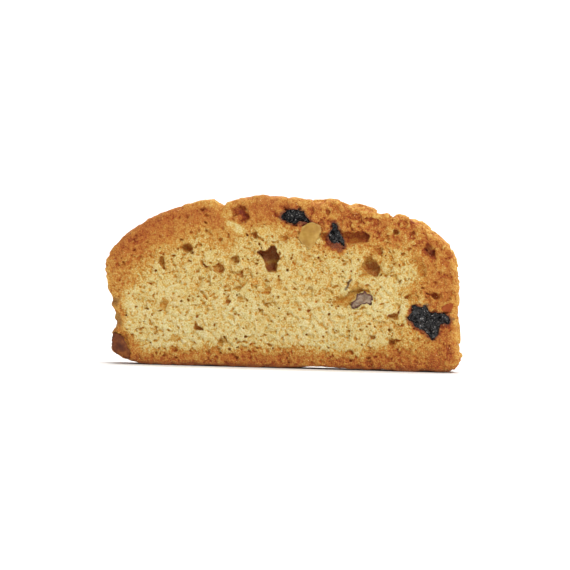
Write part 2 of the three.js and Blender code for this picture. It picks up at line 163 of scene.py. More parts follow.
# Smaller ones: x, z, half width, half height.
PITS = (
    (-29.4, 28.1, 0.8, 0.6), (-12.4, 25.6, 0.9, 0.5), (-27.9, 38.2, 1.1, 0.4),
    (-17.5, 34.2, 0.8, 0.6), (-9.2, 37.3, 0.9, 0.7), (-7.6, 41.4, 0.5, 0.6),
    (-36.6, 35.5, 0.4, 0.5), (-37.5, 33.3, 0.7, 0.6),
    (-42.3, 33.5, 0.5, 0.4), (-40.3, 29.8, 0.6, 0.5), (-46.4, 28, 0.8, 0.7),
    (-44.9, 25, 0.6, 0.4), (-46.6, 23.2, 1, 0.6), (-34.8, 36.3, 0.4, 0.4),
    (-31.7, 32.5, 0.6, 0.4), (-36.9, 22.8, 0.8, 0.5),
    (26.3, 33.1, 1.2, 0.4), (43.7, 30.2, 0.7, 0.6), (32.2, 29.4, 0.5, 0.4),
    (16.6, 42.3, 0.6, 0.5), (22.8, 40.3, 0.6, 0.5), (29.3, 41.4, 0.6, 0.4),
    (34.9, 42.2, 0.5, 0.4), (36.4, 39.4, 0.8, 0.4), (42.8, 32, 0.7, 0.5),
    (45.9, 32.9, 0.5, 0.6), (45.7, 27.3, 0.5, 0.5), (17.5, 14.8, 0.8, 0.5),
    (26.7, 16.5, 0.8, 0.6), (25.4, 9.3, 0.8, 0.6),
    (32.9, 12.7, 0.5, 0.4), (26, 7.7, 0.4, 0.4), (18.6, 4.9, 0.4, 0.3),
    (20.9, 8.6, 0.5, 0.5), (46.8, 12.2, 0.5, 0.4), (26.8, 4.2, 0.7, 0.4),
    (32.2, 4.4, 0.8, 0.4), (4.1, 17.8, 0.8, 0.8), (-12.1, 19.3, 0.8, 0.6),
    (-15.2, 18.1, 0.9, 0.7), (-16, 22.4, 0.9, 0.6), (-4.7, 21.5, 0.5, 0.7),
    (5.8, 31.1, 0.9, 0.7), (8.9, 31.1, 0.5, 0.4), (12.6, 15.6, 0.6, 0.6),
    (-17.3, 7, 1.2, 1.1), (-30.1, 7.5, 1, 0.6), (-2.1, 24.5, 1.2, 0.6),
    (-7.6, 6.8, 0.8, 0.4), (10.4, 12.3, 0.9, 0.4), (-14.7, 15.8, 0.5, 0.4),
    (-24.1, 13.6, 0.6, 0.4), (-21.3, 12.4, 0.4, 0.4), (-12.4, 14.6, 0.5, 0.4),
    (-10.5, 10.9, 0.8, 0.4), (-16.5, 10.3, 0.4, 0.4), (1.3, 9.6, 0.4, 0.4),
    (-19.1, 20.3, 0.5, 0.4), (-20.9, 16.8, 0.5, 0.4), (-25.9, 19, 0.6, 0.4),
    (6.9, 16.4, 0.5, 0.6), (10.1, 17.7, 0.4, 0.4), (5.1, 6.4, 0.4, 0.4),
    (-29.9, 4, 0.7, 0.6), (-37.4, 2.8, 0.5, 0.5), (-43.3, 9.6, 0.7, 0.5),
    (-39.9, 9.7, 0.5, 0.4), (-35.7, 10, 0.8, 0.4), (-16, 1.7, 1, 0.5),
    (-43.4, 13.1, 0.6, 0.4), (-37.6, 13.2, 0.4, 0.4), (-2, 39.7, 0.4, 0.5),
)
BACK_PITS = 46          # how many the back has, at random places

# Where the crust broke open at the top: the notch in its edge, the brown crater
# beside it, and the pale crumb torn open below.
NOTCH = (
    (-19.7, 47.6), (-19, 46.3), (-18.2, 45.6), (-17.6, 44.9), (-17.1, 44.7), (-16.9, 45.4),
    (-17, 46), (-16.7, 47.8),
)
CRATER = (
    (-14.9, 44.4), (-12.9, 45), (-10.3, 44.5), (-9.8, 42.1), (-10.5, 40.9), (-10.4, 39.8),
    (-11.8, 40), (-13.4, 40.9), (-14.8, 42),
)
TORN = (
    (-17.1, 41), (-15.5, 40.7), (-13.3, 39.9), (-11.2, 38.4), (-11.6, 37), (-13.3, 37.6),
    (-15.2, 38.7), (-16.4, 39.5),
)
# What the solid's larger hollows are filled up to: outline, depth and roughness in mm.
PLUGS = (
    (CRATER, 0.9, 0.3), (DEEP_HOLE, 4.2, 0.15), (ROUND_HOLE, 1.6, 0.1), (CRUST_HOLE, 1.9, 0.1),
)
# Smooth golden breaks in the crust: outline and tone.
BREAKS = (
    (((-17.9, 43.2), (-15.3, 44), (-14.6, 42), (-16.5, 41.2), (-18.5, 41.9)), 0.52),
    (((27, 39.7), (28.7, 40.3), (28.9, 38), (28, 36.8), (26.8, 37.7)), 0.42),
    (((29.2, 39.4), (30.2, 39.9), (31.6, 39.6), (32.4, 38.7), (32.2, 38), (30.9, 37.9),
      (29.6, 38.3)), 0.28),
    (((35.6, 38.8), (37.6, 38.6), (39.3, 37.6), (39.7, 36.3), (39, 35.5), (37.6, 35.6),
      (36.3, 36.7)), 0.24),
)
# Where the crust lies a little lower: x, z, spread squared and by how much, in mm.
WORN = ((43, 37, 90, 0.3), (36.5, 43, 4, 0.5))
# Crumb standing out from the left end, and the right end lying lower: z, spread and
# by how much.
LEFT_EDGE = (
    (28.5, 5, 0.4), (20.8, 1.6, 0.6), (16.3, 1.2, 0.8), (12.8, 1, 0.5), (9, 1, 0.4),
)
RIGHT_EDGE = ((26.3, 0.9, -0.2),)

# Flecks of orange zest in the front, at x and z.
ZEST = (
    (-31.8, 34.2), (-22.9, 35), (-15.9, 32.7), (-7.3, 27.3), (-30.8, 18.8),
    (-8.4, 23.7), (16, 32.7), (29.3, 12.7), (13.1, 13.1), (4.6, 8.1), (42.8, 29.8),
)
ZEST_REACH = (0.9, 1.5, 0.7)    # how far a fleck shows in x, y and z
# A flake of walnut skin and a burnt speck, as lines, and two waxy patches on the left.
DARK_LINES = (
    ((17.2, 22.5), (17.9, 23.6), (18, 24.6), (18.7, 25.2)),
    ((47.5, 15.1), (47.7, 15.1)),
)
PATCHES = (
    ((-47.9, 18.5), (-45.1, 18.6), (-45.8, 17.4), (-46.4, 16), (-48, 16)),
    ((-47.2, 15.1), (-45.4, 13.8), (-44.7, 11.8), (-44.8, 10.5), (-46.8, 11)),
)
# Where the crust caught more heat, as lines.
TOASTED = (
    ((42, 4.6), (42.2, 2.9), (42.8, 1.3)),
    ((34.1, 1.4), (35.8, 1.2), (37.6, 1.1)),
    ((46.6, 6.5), (47.2, 4.4)),
)
# Juice from the raisins in the crumb below them.
STAINS = (
    ((12.4, 35), (13.3, 34.5), (14.7, 34.3), (15.6, 33.2)),
    ((3.4, 40.7), (4.5, 40.6), (5.6, 40.5), (6.6, 40.9)),
)

# The outlines of the front's fruit and nuts, in x and z.
OUTLINES = {
    "raisin_top": (
        (-1.4, 42.3), (-1.1, 42.9), (-0.3, 43.6), (0.7, 44.1), (1.9, 44.4), (3.2, 44.3),
        (3.5, 44.6), (3.7, 44.2), (4.5, 43.9), (5.3, 43.2), (6.1, 42.2), (6.6, 41.3),
        (6.3, 40.9), (5.5, 41), (4.9, 41.1), (4.2, 41.3), (3.6, 41.1), (3.2, 40.6),
        (2.4, 40.4), (1.8, 40.7), (1, 40.7), (0, 41.2), (-1.1, 41.7),
    ),
    "raisin_spire": (
        (13, 40.8), (13.5, 41.1), (14.2, 40.7), (14.6, 40), (14.8, 39.1), (15.1, 38.2),
        (15.8, 37), (16.4, 35.9), (16.7, 34.7), (16.3, 34.2), (15.6, 34.7), (15.1, 35.5),
        (14.3, 35.6), (13.8, 35.2), (13, 35.6), (12.2, 36.3), (11.9, 37.2), (12.3, 38.3),
        (12.9, 39.1), (13.2, 40.1),
    ),
    "raisin_large": (
        (36, 18.4), (36.6, 18.6), (37.4, 18.2), (38.7, 18.2), (39.5, 18.9), (40.5, 18.9),
        (40.1, 18.1), (40.5, 17.1), (41.3, 16.4), (42.4, 16.7), (43.8, 16.5), (44.8, 16.6),
        (45.7, 16.1), (46.5, 15.3), (46.6, 14.2), (46.1, 13.4), (44.9, 13.8), (43.9, 13.6),
        (43.5, 12.3), (43.4, 10.9), (42.6, 9.7), (41.9, 9.2), (41, 9.9), (40.2, 10.8),
        (39.3, 11.6), (37.9, 12.2), (36.9, 12.8), (36.3, 13.7), (35.2, 14.3), (34.6, 15),
        (35.4, 15.9), (35.9, 17),
    ),
    "nut_pale": (
        (4.2, 38.3), (4.8, 39.5), (6, 40.5), (7.4, 41.1), (8.7, 40.6), (9.8, 39.9),
        (9.9, 38.7), (9.5, 37.5), (9.1, 36.2), (8.2, 35.2), (7.3, 34.2), (6.2, 34),
        (5.2, 34.5), (4.4, 35.2), (3.9, 36.2), (3.9, 37.3),
    ),
    "walnut_chip": (
        (18.8, 18), (19.3, 19), (20.3, 20), (20.5, 21.2), (21.7, 21.5), (22.7, 21.8),
        (23.6, 21.3), (24.6, 21), (24.6, 20), (25, 19), (24.2, 18.5), (23.1, 18.8),
        (22.1, 18.4), (20.9, 18), (19.9, 17.3), (19.1, 17.4),
    ),
    "orange_peel": (
        (44, 17.7), (44.7, 18.7), (45.7, 19.5), (46.8, 20.1), (47.1, 19.1), (47, 18),
        (46.5, 16.8), (45.5, 17.4), (44.6, 17.2),
    ),
    "sultana_corner": (
        (-47.1, 8.5), (-45.9, 8.2), (-45, 7.9), (-44.3, 6.9), (-43.7, 5.7), (-43.1, 4.3),
        (-42.2, 2.9), (-42.4, 1.2), (-43.1, 1.7), (-44.8, 2.4), (-46.3, 3.1), (-47.4, 4.2),
        (-47.4, 5.8),
    ),
}
# Long folds in the raisins' skin.
FOLDS = {
    "raisin_top": (((0.7, 43.4), (2.1, 43.4), (3.3, 43.1), (4.7, 42.5), (5.4, 41.7), (5.6, 41.2)),),
    "raisin_spire": (((13.2, 38.6), (13.7, 37.4), (14.4, 36.4), (15.2, 35.7), (16, 34.8)),),
    "raisin_large": (
        ((37.8, 16.7), (39.1, 15.7), (40.3, 15), (41.7, 14.7), (43.8, 15.1), (45.4, 14.3)),
        ((36.8, 14.2), (38.9, 13.6), (40.2, 12.2), (41.5, 10.9)),
    ),
}

FRONT_RAISINS = ("raisin_top", "raisin_spire", "raisin_large")
DARK_FRUIT = FRONT_RAISINS + ("raisin_back_left", "raisin_back_right")


# ---- Fields ------------------------------------------------------------------


class Field:
    """Values on a grid of cubes of side `step`, the first one `corner` steps from 0."""

    def __init__(self, values, corner, step):
        self.values = values
        self.corner = np.asarray(corner)
        self.step = step

    def like(self, values):
        return Field(values, self.corner, self.step)

    def axes(self, window=(slice(None),) * 3):
        """x, y and z of the grid or a part of it, shaped to combine to the whole."""
        lines = [(c + np.arange(n)) * self.step for c, n in zip(self.corner, self.values.shape)]
        x, y, z = (line.astype(np.float32)[part] for line, part in zip(lines, window))
        return x[:, None, None], y[None, :, None], z[None, None, :]

    def window(self, low, high):
        """The part of the grid between two corners in mm."""
        start = np.floor(np.array(low) / self.step).astype(int) - self.corner
        stop = np.ceil(np.array(high) / self.step).astype(int) - self.corner
        return tuple(slice(max(a, 0), max(b, 1)) for a, b in zip(start, stop))

    def sample(self, points):
        """Values between the grid's places, at points in mm."""
        place = points / self.step - self.corner
        cell = np.clip(np.floor(place).astype(int), 0, np.array(self.values.shape) - 2)
        share = np.clip(place - cell, 0, 1)
        total = np.zeros(len(points), np.float32)
        for corner in np.ndindex(2, 2, 2):
            weight = np.prod(np.where(corner, share, 1 - share), axis=1)
            total += weight * self.values[tuple((cell + corner).T)]
        return total


def solid_field(node, step, outside, inside):
    """The distance field of a CAD solid, as far out and in as the given distances."""
    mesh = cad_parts[node].data
    mesh.calc_loop_triangles()
    points = np.empty(len(mesh.vertices) * 3, np.float32)
    mesh.vertices.foreach_get("co", points)
    points = points.reshape(-1, 3) / MM
    triangles = np.empty(len(mesh.loop_triangles) * 3, np.int32)
    mesh.loop_triangles.foreach_get("vertices", triangles)
    grid = openvdb.FloatGrid.createLevelSetFromPolygons(
        points,
        triangles=triangles.reshape(-1, 3).astype(np.uint32),
        transform=openvdb.createLinearTransform(voxelSize=step),
        exBandWidth=outside / step,
        inBandWidth=inside / step,
    )
    border = int(outside / step) + 1
    low = np.floor(points.min(0) / step).astype(int) - border
    high = np.ceil(points.max(0) / step).astype(int) + border
    values = np.zeros(tuple(high - low), np.float32)
    grid.copyToArray(values, tuple(int(v) for v in low))
    return Field(values, low, step)


def along(axis, line):
    """A line of numbers, shaped to run along one axis of a grid."""
    return np.asarray(line, np.float32).reshape([-1 if a == axis else 1 for a in range(3)])


def level(values):
    """Values shifted and scaled to mean 0 and spread 1."""
    return (values - values.mean()) / values.std()


def noise(field, spacing, seed):
    """Smooth noise on a field's grid: mean 0, spread 1, lumps about 2 spacings wide."""
    lengths = [n * field.step for n in field.values.shape]
    rng = np.random.default_rng(seed)
    values = rng.standard_normal([int(d / spacing) + 4 for d in lengths], np.float32)
    for axis, count in enumerate(field.values.shape):
        cell, t = np.divmod(np.arange(count) * field.step / spacing, 1)
        weights = (
            (1 - t) ** 3,
            3 * t**3 - 6 * t**2 + 4,
            -3 * t**3 + 3 * t**2 + 3 * t + 1,
            t**3,
        )
        cell = cell.astype(int)
        values = sum(along(axis, w) * values.take(cell + k, axis) for k, w in enumerate(weights))
    return level(values)


def smeared(values, cells):
    """Values averaged over their neighbours, about this many cells to each side.

    The number of cells may differ along x, y and z.
    """
    for axis, (count, spread) in enumerate(zip(values.shape, np.broadcast_to(cells, 3))):
        reach = math.ceil(2.5 * spread)
        weights = np.exp(-0.5 * (np.arange(-reach, reach + 1) / spread) ** 2)
        weights = (weights / weights.sum()).astype(np.float32)
        borders = [(reach, reach) if a == axis else (0, 0) for a in range(3)]
        padded = np.moveaxis(np.pad(values, borders, "edge"), axis, 0)
        total = sum(w * padded[k:k + count] for k, w in enumerate(weights))
        values = np.moveaxis(total, 0, axis)
    return values


def grit(field, cells, seed):
    """Fine noise, with grains about 2 x cells of the field's grid wide."""
    rng = np.random.default_rng(seed)
    return level(smeared(rng.standard_normal(field.values.shape, np.float32), cells))


def smooth_step(values, low, high):
    """0 up to low, and 1 from high on, with a smooth rise between them."""
    t = np.clip((values - low) / (high - low), 0, 1)
    return t * t * (3 - 2 * t)


def fade(values, low, high):
    """The opposite: 1 up to low, and 0 from high on."""
    return 1 - smooth_step(values, low, high)


def within(x, z, corners, low, high):
    """0 outside an outline, from low mm inside it, and 1 from high mm inside it."""
    return smooth_step(-from_outline(x, z, corners), low, high)


def smooth_max(a, b, width):
    """The larger of two fields, with the edge between them rounded over `width`."""
    blend = np.clip(0.5 + 0.5 * (a - b) / width, 0, 1)
    return b + (a - b) * blend + width * blend * (1 - blend)


def smooth_min(a, b, width):
    return -smooth_max(-a, -b, width)


def swelling(distance, spread):
    """1 at distance 0, fading to nothing over about twice the spread."""
    return np.exp(-((distance / spread) ** 2))


def from_line(x, z, line):
    """How far x, z is from a line through two or more points."""
    nearest = np.float32(np.inf)
    for (ax, az), (bx, bz) in zip(line, line[1:]):
        share = ((x - ax) * (bx - ax) + (z - az) * (bz - az)) / ((bx - ax) ** 2 + (bz - az) ** 2)
        share = np.clip(share, 0, 1)
        away = np.hypot(x - ax - share * (bx - ax), z - az - share * (bz - az))
        nearest = np.minimum(nearest, away)
    return nearest


def from_outline(x, z, corners):
    """How far x, z is from a closed outline: below 0 inside it."""
    closed = tuple(corners) + (corners[0],)
    inside = np.zeros(np.broadcast_shapes(x.shape, z.shape), bool)
    for (ax, az), (bx, bz) in zip(closed, closed[1:]):
        if az != bz:
            inside ^= ((az > z) != (bz > z)) & (x < ax + (z - az) * (bx - ax) / (bz - az))
    return np.where(inside, -1, 1) * from_line(x, z, closed)


# ---- Meshes ------------------------------------------------------------------


def put(name, data):
    """A new object with this data, in the scene."""
    obj = bpy.data.objects.new(name, data)
    bpy.context.scene.collection.objects.link(obj)
    return obj


def largest_island(count, quads):
    """Which faces belong to the mesh's largest connected part."""
    label = np.arange(count)
    while True:
        lowest = label[quads].min(1)
        before = label.copy()
        for column in quads.T:
            np.minimum.at(label, column, lowest)
        label = label[label]
        if (label == before).all():
            break
    owner = label[quads[:, 0]]
    return owner == np.bincount(owner).argmax()


def mesh_object(name, field):
    """The field's zero surface as a smooth-shaded mesh object, in metres."""
    grid = openvdb.FloatGrid(float(field.values.max()))
    grid.transform = openvdb.createLinearTransform(voxelSize=field.step)
    grid.copyFromArray(field.values, tuple(int(v) for v in field.corner))
    points, _, quads = grid.convertToPolygons(0.0, 0.0)
    quads = quads[largest_island(len(points), quads.astype(np.int64))]
    used, quads = np.unique(quads, return_inverse=True)
    points = points[used]
    mesh = bpy.data.meshes.new(name)
    mesh.vertices.add(len(points))
    mesh.vertices.foreach_set("co", (points * MM).ravel())
    mesh.loops.add(quads.size)
    mesh.loops.foreach_set("vertex_index", quads.ravel().astype(np.int32))
    mesh.polygons.add(quads.size // 4)
    mesh.polygons.foreach_set("loop_start", np.arange(0, quads.size, 4, dtype=np.int32))
    mesh.update(calc_edges=True)
    mesh.shade_smooth()
    return put(name, mesh), points


def paint(obj, name, values):
    """A number for each vertex, for the material to read."""
    layer = obj.data.attributes.new(name, "FLOAT", "POINT")
    layer.data.foreach_set("value", np.asarray(values, np.float32))


# ---- Fruit and nut pieces ----------------------------------------------------


def wrinkled(field, seed):
    """Dried fruit: soft folds and a puckered skin."""
    folds = np.abs(noise(field, 1.1, seed)) + 0.5 * np.abs(noise(field, 0.5, seed + 1))
    return 0.42 * (np.minimum(folds, 1.8) - 0.9) + 0.1 * noise(field, 0.35, seed + 2)


def waxy(field, seed):
    """Cut nut or peel: almost smooth, with slow waves."""
    return 0.10 * noise(field, 1.2, seed) + 0.02 * noise(field, 0.35, seed + 1)


def broken(field, seed):
    """Broken walnut: lobes with creases between them, and small steps."""
    return 0.3 * (0.8 - np.abs(noise(field, 0.9, seed))) + 0.06 * noise(field, 0.35, seed + 1)


def faceted(field, seed):
    """A broken nut kernel: waxy, with a ridge between two faces."""
    x, _, z = field.axes()
    ridge = x - 7.4 - 0.15 * (z - 37)
    return waxy(field, seed) + 0.16 * np.abs(ridge) - 0.2


def fruit_field(node, relief, sunk, seed):
    """A piece's final field: its solid within its outline, with relief on its face."""
    solid = solid_field(node, FRUIT_STEP, outside=1.8, inside=2.4)
    x, y, z = solid.axes()
    low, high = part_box(node)
    side = -1 if low.y + high.y < 0 else 1
    face = side * y - (FACE_Y - sunk) + relief(solid, seed)
    if node in OUTLINES:
        outline = from_outline(x, z, OUTLINES[node])
        rough = 0.08 if node in DARK_FRUIT else 0.14
        ragged = rough * noise(solid, 0.45, seed + 5) - 0.12
        body = smooth_max(solid.values - 1.0, outline + ragged, 0.2)
        if node in DARK_FRUIT:
            face = face + 0.2 * smooth_step(outline, -1.0, 0)
    else:
        body = smeared(solid.values, 1.0) - 0.2 + 0.18 * noise(solid, 0.8, seed + 5)
    for fold in FOLDS.get(node, ()):
        face = face + 0.4 * swelling(from_line(x, z, fold), 0.3)
    return solid.like(smooth_max(body, face, 0.25).astype(np.float32))


def fruit_piece(node, field, material, slot):
    obj, points = mesh_object(node.replace("_", "-") + ".look", field)
    if node in OUTLINES:
        x, z = points[:, 0], points[:, 2]
        paint(obj, "skin", -from_outline(x, z, OUTLINES[node]))
    obj.data.materials.append(material)
    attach(obj, "root")
    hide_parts(node)


# ---- The slice ---------------------------------------------------------------


def crust_depth(field, directions=480, levels=9):
    """How deep each place lies under the crust, by the crust's line at its own y.

    The line is the farthest solid place in each direction from the middle, so that
    hollows and fruit don't count as crust.
    """
    x, y, z = (axis.ravel() for axis in field.axes())
    dx, dz = x[:, None] - MIDDLE[0], z[None, :] - MIDDLE[1]
    radius = np.hypot(dx, dz)
    turn = (np.arctan2(dz, dx) / (2 * np.pi) % 1 * directions).astype(int) % directions
    angle = (np.arange(directions) + 0.5) / directions * 2 * np.pi
    reach_in = FACE_Y - 0.8
    heights = np.linspace(-reach_in, reach_in, levels)
    depths = []
    for height in heights:
        inside = field.values[:, np.abs(y - height).argmin(), :] < 0
        reach = np.zeros(directions, np.float32)
        np.maximum.at(reach, turn[inside], radius[inside])
        for _ in range(3):    # a narrow direction may have met no cell of the crust
            reach = np.maximum(reach, np.minimum(np.roll(reach, 1), np.roll(reach, -1)))
        crust = np.stack([MIDDLE[0] + reach * np.cos(angle), MIDDLE[1] + reach * np.sin(angle)])
        depth = np.empty(radius.shape, np.float32)
        for i, row in enumerate(x):
            apart = (crust[0] - row) ** 2 + (crust[1] - z[:, None]) ** 2
            depth[i] = np.sqrt(apart.min(1))
        depths.append(np.where(radius < reach[turn], depth, -depth))
    place = np.clip((y + reach_in) / (2 * reach_in), 0, 1) * (levels - 1)
    below = np.minimum(place.astype(int), levels - 2)
    share = (place - below)[None, :, None]
    depths = np.stack(depths, 1)
    return ((1 - share) * depths[:, below] + share * depths[:, below + 1]).astype(np.float32)


def browning(x, z):
    """The four values of the brown in the direction of x, z."""
    angle = np.degrees(np.arctan2(z - MIDDLE[1], x - MIDDLE[0]))
    angles, *columns = zip(*BROWNING)
    return [np.interp(angle, angles, column).astype(np.float32) for column in columns]


def distance_to(like, nodes):
    """How far each place of a field's grid is from the named solids, up to 2 mm."""
    nearest = np.full(like.values.shape, 2.0, np.float32)
    for node in nodes:
        near = solid_field(node, CRUMB_STEP, outside=2.0, inside=0.5)
        low = near.corner - like.corner
        start = np.maximum(low, 0)
        stop = np.minimum(low + near.values.shape, like.values.shape)
        place = tuple(slice(a, b) for a, b in zip(start, stop))
        part = tuple(slice(a, b) for a, b in zip(start - low, stop - low))
        nearest[place] = np.minimum(nearest[place], near.values[part])
    return nearest


def oval(x, z, wide, high, rng):
    """The outline of a small uneven hollow."""
    count = 9
    reach = rng.uniform(0.7, 1.25, count)
    angles = 2 * np.pi * (np.arange(count) + rng.uniform(-0.3, 0.3, count)) / count
    return tuple((x + wide * r * math.cos(a), z + high * r * math.sin(a))
                 for r, a in zip(reach, angles))


def all_hollows():
    """Side, outline, depth and painted shade of every hollow: side -1 is the front."""
    rng = np.random.default_rng(9)
    for corners, depth, hollow_shade in HOLLOWS:
        yield -1, corners, depth, hollow_shade
    for x, z, wide, high in PITS:
        corners, hollow_shade = oval(x, z, wide, high, rng), rng.uniform(0.25, 0.75)
        deep = 0.6 + 0.8 * min(wide, high)
        in_crust = z > 32 or x < -42
        if in_crust:
            deep, hollow_shade = 0.5 * deep, BOWL_SHADE + 0.2 * hollow_shade
        yield -1, corners, deep, hollow_shade
    for _ in range(BACK_PITS):
        wide = rng.uniform(0.5, 1.4)
        corners = oval(rng.uniform(-40, 40), rng.uniform(4, 38), wide, 0.7 * wide, rng)
        yield 1, corners, 0.6 + 0.6 * wide, rng.uniform(0.25, 0.75)


def open_hollows(slice_field, values, cave, wobble):
    """Opens the hollows in the cut faces, and marks in `cave` the shade painted in them, darker
    with depth.

    The ones with the least painted shade are gentle bowls, where a nut had pressed the dough
    smooth. The wobble makes their edges ragged.
    """
    for side, corners, depth, hollow_shade in all_hollows():
        low, high = np.min(corners, 0) - 1, np.max(corners, 0) + 1
        ys = sorted((side * (FACE_Y - depth - 3), side * (FACE_Y + 1)))
        window = slice_field.window((low[0], ys[0], low[1]), (high[0], ys[1], high[1]))
        x, y, z = slice_field.axes(window)
        below = FACE_Y - side * y
        inward = wobble[window] + 0.1 - from_outline(x, z, corners)
        wall = BOWL_WALL if hollow_shade < BOWL_SHADE else STEEP_WALL
        bottom = depth * smooth_step(inward, -0.2, wall) - below
        empty = smooth_min(inward - 0.1 * below, bottom, 0.15)
        values[window] = smooth_max(values[window], empty, 0.1)
        mark = hollow_shade * smooth_step(inward, -0.45, 0.0) * smooth_step(below, 0.0, 0.9 / wall)
        cave[window] = np.maximum(cave[window], mark)


class Dough:
    """The slice's grid, with the measures and the noise that its steps share."""

    def __init__(self):
        self.solid = solid_field("biscotti_slice", CRUMB_STEP, outside=1.6, inside=3.0)
        self.x, self.y, self.z = self.solid.axes()
        x, z = self.x, self.z
        self.front = (self.y < 0).astype(np.float32)
        self.depth = crust_depth(self.solid)
        self.fine, self.grain, self.crumb = (
            grit(self.solid, cells, seed) for cells, seed in ((0.9, 11), (1.5, 12), (2.6, 13)))
        self.lump, self.knob, self.swell = (
            noise(self.solid, size, seed) for size, seed in ((1.3, 14), (2.2, 15), (4.0, 16)))

        # How far through the baked brown each place is: 0 at the crust, 1 at its end.
        reach, sudden, self.darkest, self.paler = browning(x, z)
        uneven = 1 + 0.10 * self.knob + 0.08 * self.swell
        self.baked = np.clip(self.depth / reach / uneven, 0, 2) ** sudden

        # Regions, each from 0 outside to 1 inside: the outermost crust, the right half,
        # the smooth brown of the upper left, the band over the base, the broken crust of
        # the upper right, the crater, and the smooth breaks.
        self.rim = fade(self.depth, 0.3, 2.4)
        self.right = smooth_step(x, -12, 12)
        self.calm = (1 - self.right) * fade(self.baked, 0.5, 1.1) * smooth_step(z, 26, 36)
        self.band = fade(z, 5, 8) * smooth_step(-np.abs(x), -42, -36)
        self.broken_crust = self.right * smooth_step(z, 22, 34) * fade(self.depth, 5, 9)
        self.crater = within(x, z, CRATER, -0.5, 0.7) * self.front
        self.breaks = [within(x, z, corners, -0.4, 0.4) for corners, _ in BREAKS]


def trimmed_body(dough, pieces):
    """The solid filled and trimmed, with its cut faces bent back to the crust.

    The crumb fills the pockets of the fruit, for the time being, and the bottoms of
    some hollows. Also returns how sheltered each place is: 0 at the surface, and 1
    from a little below it.
    """
    x, y, z = dough.x, dough.y, dough.z
    plug = np.float32(np.inf)
    for corners, deep, rough in PLUGS:
        bottom = deep + rough * (dough.lump + dough.crumb) - (y + FACE_Y)
        plug = np.minimum(plug, smooth_max(from_outline(x, z, corners) - 1.2, bottom, 0.3))
    trim = 0
    for middle_x, middle_z, spread_squared, low in WORN:
        away_squared = (x - middle_x) ** 2 + (z - middle_z) ** 2
        trim = trim + low * np.exp(-away_squared / spread_squared)
    ends = ((LEFT_EDGE, smooth_step(-x, 40, 44)), (RIGHT_EDGE, smooth_step(x, 46, 48.5)))
    for edge, at_end in ends:
        for middle, spread, out in edge:
            trim = trim - out * swelling(z - middle, spread) * at_end
    body = np.minimum(smeared(dough.solid.values, 0.8) + trim, np.minimum(pieces - 0.45, plug))
    turn_back = CRUST_TURN * np.clip(1 - dough.depth / CRUST_TURN_WIDTH, 0, 1) ** 2
    below = FACE_Y - np.abs(y) - turn_back
    sheltered = smooth_step(np.minimum(below, dough.depth), 0.6, 1.4) * (1 - dough.crater)
    return smooth_max(body, -below, 0.3), sheltered


def surface_relief(dough, sheltered):
    """Crumb on the cut faces and crags on the crust, which is calmer on the left.

    The blade left nothing standing proud, so relief goes mostly inwards.
    """
    fine, grain, crumb, lump = dough.fine, dough.grain, dough.crumb, dough.lump
    rim, right, front = dough.rim, dough.right, dough.front
    relief = 0.16 * fine * (1 - 0.6 * rim) + 0.16 * grain + 0.12 * crumb + 0.05 * lump
    relief *= (1 - 0.85 * sheltered) * (1 - 0.4 * dough.calm)
    crags = 0.16 * crumb + 0.16 * lump + 0.26 * dough.knob + 0.15
    relief += rim * smooth_step(dough.z, 0.5, 4) * (0.12 + 0.88 * right) * crags
    relief += dough.broken_crust * (1 - rim) * (0.08 * fine + 0.18 * grain + 0.16 * crumb)
    relief += dough.crater * (0.25 * grain + 0.35 * crumb + 0.25 * lump)
    relief = relief * (1 - 0.7 * np.maximum.reduce(dough.breaks) * front)
    return smooth_min(smooth_max(relief, -0.2 * (1 + 0.6 * rim * right), 0.12), 0.5, 0.2)


def notch(dough):
    """The notch in the crust, which is wider in places behind the cut face."""
    outline = from_outline(dough.x, dough.z, NOTCH) + 0.12 * dough.crumb
    return outline - 0.6 * np.maximum(dough.knob, 0) * smooth_step(dough.y, -7.5, -4)


def pores(dough, body, sheltered):
    """Pores of two sizes. They stay near the surface, and the baked crust has fewer."""
    under = np.maximum(0, -body - 0.35)
    crust = 1.2 * dough.rim * (1 - 0.5 * dough.right)
    shut = 0.9 * sheltered + crust + 0.35 * (1 - np.minimum(dough.baked, 1))
    shut = shut + 0.22 * dough.swell + 0.3 * fade(dough.z, 10, 20)
    shut = shut + 0.5 * dough.calm
    small = grit(dough.solid, (1.3, 2.2, 1.0), 21) + 0.45 * dough.crumb + 0.35 * dough.grain
    large = grit(dough.solid, (3.2, 4.0, 2.3), 22) + 0.5 * dough.grain + 0.3 * dough.fine
    small_shut = shut + 0.3 * dough.broken_crust - 0.35 * dough.band
    large_shut = shut + 1.5 * dough.broken_crust + 0.2 * dough.band
    return np.maximum(0.9 * (level(small) - 1.2 - 1.2 * under - small_shut),
                      0.9 * (level(large) - 1.8 - 0.8 * under - large_shut))


def base_height(dough):
    """How far the base is clear of the floor: most to the right of the middle."""
    arch = BASE_LIFT * np.exp(-(((dough.x - 16) / 16) ** 4))
    return np.clip(arch + 0.12 + 0.12 * dough.swell + 0.08 * dough.lump, 0, 1)


def make_room(dough, values, fruit):
    """Room for the fruit, open to the cut face and a little tighter than the fruit."""
    for field in fruit.values():
        low = field.corner * field.step
        window = dough.solid.window(low, low + np.array(field.values.shape) * field.step)
        axes = np.broadcast_arrays(*dough.solid.axes(window))
        places = np.stack(axes, -1).reshape(-1, 3)
        deep = FACE_Y - 1.2
        places[:, 1] = np.clip(places[:, 1], -deep, deep)
        near = field.sample(places).reshape(values[window].shape)
        values[window] = np.maximum(values[window], -near - 0.12)


